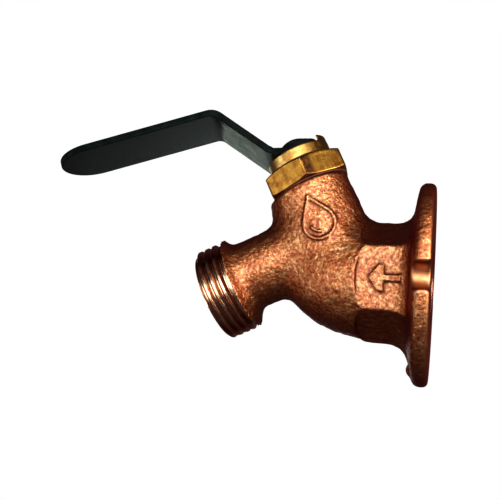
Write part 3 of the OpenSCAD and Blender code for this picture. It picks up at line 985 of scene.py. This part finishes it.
def turned_brass():
    """Yellow brass with turning rings and drawn flats, a painted highlight on the collar's outlet side, painted
    shade in its hollows and a painted dark reflection streak on the hexagon.
    """
    s = Shader("turned_brass")
    at = s.split(s.valve)
    z = at["Z"]
    spiral = s.math("ADD", s.math("MULTIPLY", z, 6.0), s.math("MULTIPLY", s.radius(), 4.0))
    rings = s.lines(spiral)
    drawn = s.noise(s.valve, 0.9, 4, 0.6, stretch=(1, 1, 0.08))
    stain = s.noise(s.valve, 2.4, 5, 0.65)
    colour = s.ramp(
        s.math("ADD", s.math("MULTIPLY", stain, 0.7), s.math("MULTIPLY", drawn, 0.3)),
        (0.34, (0.18, 0.068, 0.012)),
        (0.47, (0.36, 0.18, 0.028)),
        (0.64, (0.54, 0.34, 0.068)),
    )
    # Painted highlight: the collar is mixed to pale brass, strongest on its outlet side and fading towards the
    # lug.
    collar = s.ramp(stain, (0.35, (0.62, 0.37, 0.10)), (0.6, (0.94, 0.74, 0.36)))
    above_hexagon = s.remap(z, HEX_HIGH, HEX_HIGH + 0.4)
    collar_highlight_share = s.remap(at["X"], -3.0, 6.0, 0.8, 0.05)
    colour = s.mix(s.math("MULTIPLY", above_hexagon, collar_highlight_share), colour, collar)
    # Painted shade: concave places (low pointiness) are darkened towards dark brown.
    hollow = s.remap(s.pointiness(), 0.36, 0.46, 0.7, 0)
    colour = s.mix(hollow, colour, (0.12, 0.045, 0.01))
    # Painted reflection: a dark brown band down the hexagon beside its near corner.
    colour = s.mix(dark_reflection_streak(s), colour, (0.09, 0.028, 0.014))
    turned = s.bump(rings, 0.035, 0.45)
    return s.finish(
        Base_Color=colour, Metallic=1.0, Roughness=s.remap(stain, 0.3, 0.7, 0.42, 0.26),
        Normal=s.bump(drawn, 0.05, 0.35, turned), Coat_Weight=0.35, Coat_Roughness=0.3,
    )


def lever_paint():
    """Green-black paint on a pressed strip: faint orange peel, dust and worn edges."""
    s = Shader("lever_paint")
    peel = s.noise(s.valve, 0.8, 3, 0.5)
    dust = s.noise(s.valve, 3.5, 5, 0.62)
    colour = s.ramp(dust, (0.35, (0.006, 0.010, 0.009)), (0.62, (0.014, 0.021, 0.019)))
    worn = s.remap(s.pointiness(), 0.56, 0.66, 0, 0.35)
    colour = s.mix(worn, colour, (0.05, 0.06, 0.055))
    return s.finish(
        Base_Color=colour, Metallic=0.0, Roughness=s.remap(dust, 0.3, 0.7, 0.26, 0.4),
        Specular_IOR_Level=s.remap(s.grazing(), 0.25, 0.75, 0.03, 0.4),
        Specular_Tint=(0.85, 1.0, 0.95), Normal=s.bump(peel, 0.05, 0.35),
    )


def dark_plating():
    """Black zinc on the washer, screw and clip."""
    s = Shader("dark_plating")
    fine = s.noise(s.valve, 0.35, 4, 0.6)
    tone = s.noise(s.valve, 1.8, 3, 0.5)
    colour = s.ramp(tone, (0.35, (0.008, 0.008, 0.008)), (0.65, (0.024, 0.023, 0.021)))
    return s.finish(
        Base_Color=colour, Metallic=0.85, Roughness=s.remap(fine, 0.3, 0.7, 0.32, 0.5),
        Normal=s.bump(fine, 0.03, 0.4),
    )


def plain_solid(name, dark, light, rough):
    """A seal, bearing or ceramic: slightly mottled, with a fine surface."""
    s = Shader(name)
    fine = s.noise(s.valve, 0.6, 4, 0.55)
    tone = s.noise(s.valve, 3.0, 3, 0.5)
    colour = s.ramp(tone, (0.35, dark), (0.65, light))
    roughness = s.remap(fine, 0.3, 0.7, rough - 0.08, rough + 0.08)
    return s.finish(
        Base_Color=colour, Metallic=0.0, Roughness=roughness, Normal=s.bump(fine, 0.03, 0.5),
    )


def dress(material, *nodes):
    """Gives CAD nodes their material."""
    for node in nodes:
        mesh = frame["nodes"][node].data
        mesh.materials.clear()
        mesh.materials.append(material)


# ---------------------------------------------------------------- stage, light, camera

TARGET = np.array([-51.28, 0.0, 7.2])
YAW, PITCH, ROLL = (math.radians(a) for a in (-15.76, 6.8, 4.61))
DISTANCE = 203.16
LENS, SENSOR = 50.78, 36.0
FLOOR_Z, FLOOR_HALF = -90.0, 3000.0
WORLD_TONE, WORLD_STRENGTH = (1, 0.66, 0.64, 1), 0.12
VIEW_GAMMA = 0.72


def camera_axes():
    ahead = np.array([
        math.sin(YAW) * math.cos(PITCH), math.cos(YAW) * math.cos(PITCH), math.sin(PITCH),
    ])
    right = np.array([math.cos(YAW), -math.sin(YAW), 0])
    up = np.cross(right, ahead)
    across = right * math.cos(ROLL) + up * math.sin(ROLL)
    return ahead, across, np.cross(across, ahead)


def build_camera():
    ahead, across, up = camera_axes()
    at = (TARGET - ahead * DISTANCE) * MM
    data = bpy.data.cameras.new("camera")
    data.lens, data.sensor_width = LENS, SENSOR
    data.clip_start = 0.01
    camera = bpy.data.objects.new("camera", data)
    bpy.context.scene.collection.objects.link(camera)
    axes = Matrix([list(across), list(up), list(-ahead)]).transposed().to_4x4()
    camera.matrix_world = Matrix.Translation(Vector(at)) @ axes
    bpy.context.scene.camera = camera
    return camera


WHITE, COOL = (1, 1, 1), (0.94, 0.96, 1.0)
GREENISH, BLUISH = (0.86, 1.0, 0.9), (0.75, 0.9, 1.0)
# Name, place (right, up and back of the camera, in metres), size in metres, watts and colour
LIGHTS = (
    ("key", (-0.01, 0.06, 0.0), (0.15, 0.08), 0.17, WHITE),
    ("front_fill", (-0.05, 0.07, 0.0), (0.40, 0.14), 0.42, WHITE),
    ("left_box", (-0.34, -0.03, -0.11), (0.20, 0.12), 0.26, WHITE),
    ("right_box", (0.20, 0.07, -0.01), (0.18, 0.16), 0.82, COOL),
    ("rim_box", (0.33, 0.0, -0.10), (0.10, 0.16), 0.28, WHITE),
    ("back_strip", (-0.05, -0.07, -0.59), (0.30, 0.07), 0.13, GREENISH),
    ("low_strip", (0.06, -0.17, -0.56), (0.30, 0.10), 0.045, BLUISH),
)


def soft_light(camera, name, place, size, power, colour):
    """A softbox that the camera carries and that shines at the tap."""
    data = bpy.data.lights.new(name, "AREA")
    data.shape = "RECTANGLE"
    data.size, data.size_y = size
    data.energy = power
    data.color = colour
    light = bpy.data.objects.new(name, data)
    bpy.context.scene.collection.objects.link(light)
    light.parent = camera
    light.location = place
    aim = Vector((0, 0, -DISTANCE * MM)) - Vector(place)
    light.rotation_mode = "QUATERNION"
    light.rotation_quaternion = aim.to_track_quat("-Z", "Y")
    light.visible_camera = False


def pale_emission(name, strength):
    material = bpy.data.materials.new(name)
    material.use_nodes = True
    nodes, links = material.node_tree.nodes, material.node_tree.links
    nodes.clear()
    out = nodes.new("ShaderNodeOutputMaterial")
    glow = nodes.new("ShaderNodeEmission")
    glow.inputs["Color"].default_value = (1, 1, 1, 1)
    glow.inputs["Strength"].default_value = strength
    links.new(glow.outputs[0], out.inputs["Surface"])
    return material


def build_floor():
    """A pale floor well under the tap, which only the camera sees."""
    corners = [(-1, -1), (1, -1), (1, 1), (-1, 1)]
    points = [(x * FLOOR_HALF * MM, y * FLOOR_HALF * MM, FLOOR_Z * MM) for x, y in corners]
    mesh = bpy.data.meshes.new("floor")
    mesh.from_pydata(points, [], [(0, 1, 2, 3)])
    mesh.materials.append(pale_emission("pale_floor", 1.0))
    floor = bpy.data.objects.new("floor", mesh)
    bpy.context.scene.collection.objects.link(floor)
    floor.visible_glossy = False
    floor.visible_diffuse = False
    floor.visible_shadow = False


def build_world():
    """A white surround for the camera, and a dim warm one for the surfaces."""
    world = bpy.data.worlds.new("studio")
    bpy.context.scene.world = world
    world.use_nodes = True
    nodes, links = world.node_tree.nodes, world.node_tree.links
    nodes.clear()
    out = nodes.new("ShaderNodeOutputWorld")
    seen, felt = nodes.new("ShaderNodeBackground"), nodes.new("ShaderNodeBackground")
    seen.inputs["Color"].default_value = (1, 1, 1, 1)
    seen.inputs["Strength"].default_value = 1.0
    felt.inputs["Color"].default_value = WORLD_TONE
    felt.inputs["Strength"].default_value = WORLD_STRENGTH
    path = nodes.new("ShaderNodeLightPath")
    mix = nodes.new("ShaderNodeMixShader")
    links.new(path.outputs["Is Camera Ray"], mix.inputs[0])
    links.new(felt.outputs[0], mix.inputs[1])
    links.new(seen.outputs[0], mix.inputs[2])
    links.new(mix.outputs[0], out.inputs["Surface"])


# ---------------------------------------------------------------- put together


def build_outer_pieces(bronze, brass):
    """The pieces whose shape is rebuilt."""
    build_casting(bronze)
    build_hose_thread(cut_bronze("cut_bronze_outlet", "outlet"))
    build_pipe_thread(cut_bronze("cut_bronze_inlet", "inlet"))
    build_bonnet(brass)
    build_lever(lever_paint())


def dress_inner_pieces(brass):
    """The CAD nodes that keep their shape."""
    dark = dark_plating()
    rubber = plain_solid("seal_rubber", (0.012, 0.012, 0.012), (0.03, 0.03, 0.03), 0.6)
    fibre = plain_solid("seal_fibre", (0.10, 0.030, 0.014), (0.20, 0.065, 0.03), 0.6)
    plastic = plain_solid("bearing_plastic", (0.62, 0.58, 0.48), (0.75, 0.72, 0.62), 0.5)
    ceramic = plain_solid("disc_ceramic", (0.78, 0.77, 0.72), (0.88, 0.87, 0.84), 0.22)
    dress(brass, "stem", "cartridge_cage")
    dress(dark, "lever_screw", "lever_washer", "retaining_clip")
    dress(fibre, "bonnet_washer")
    dress(rubber, "stem_o_ring_upper", "stem_o_ring_lower", "seat_seal")
    dress(plastic, "thrust_washer")
    dress(ceramic, "moving_disc", "fixed_disc")


def main():
    brass = turned_brass()
    build_outer_pieces(cast_bronze(), brass)
    dress_inner_pieces(brass)
    camera = build_camera()
    for light in LIGHTS:
        soft_light(camera, *light)
    build_floor()
    build_world()
    view = bpy.context.scene.view_settings
    view.view_transform = "Standard"
    view.gamma = VIEW_GAMMA


main()
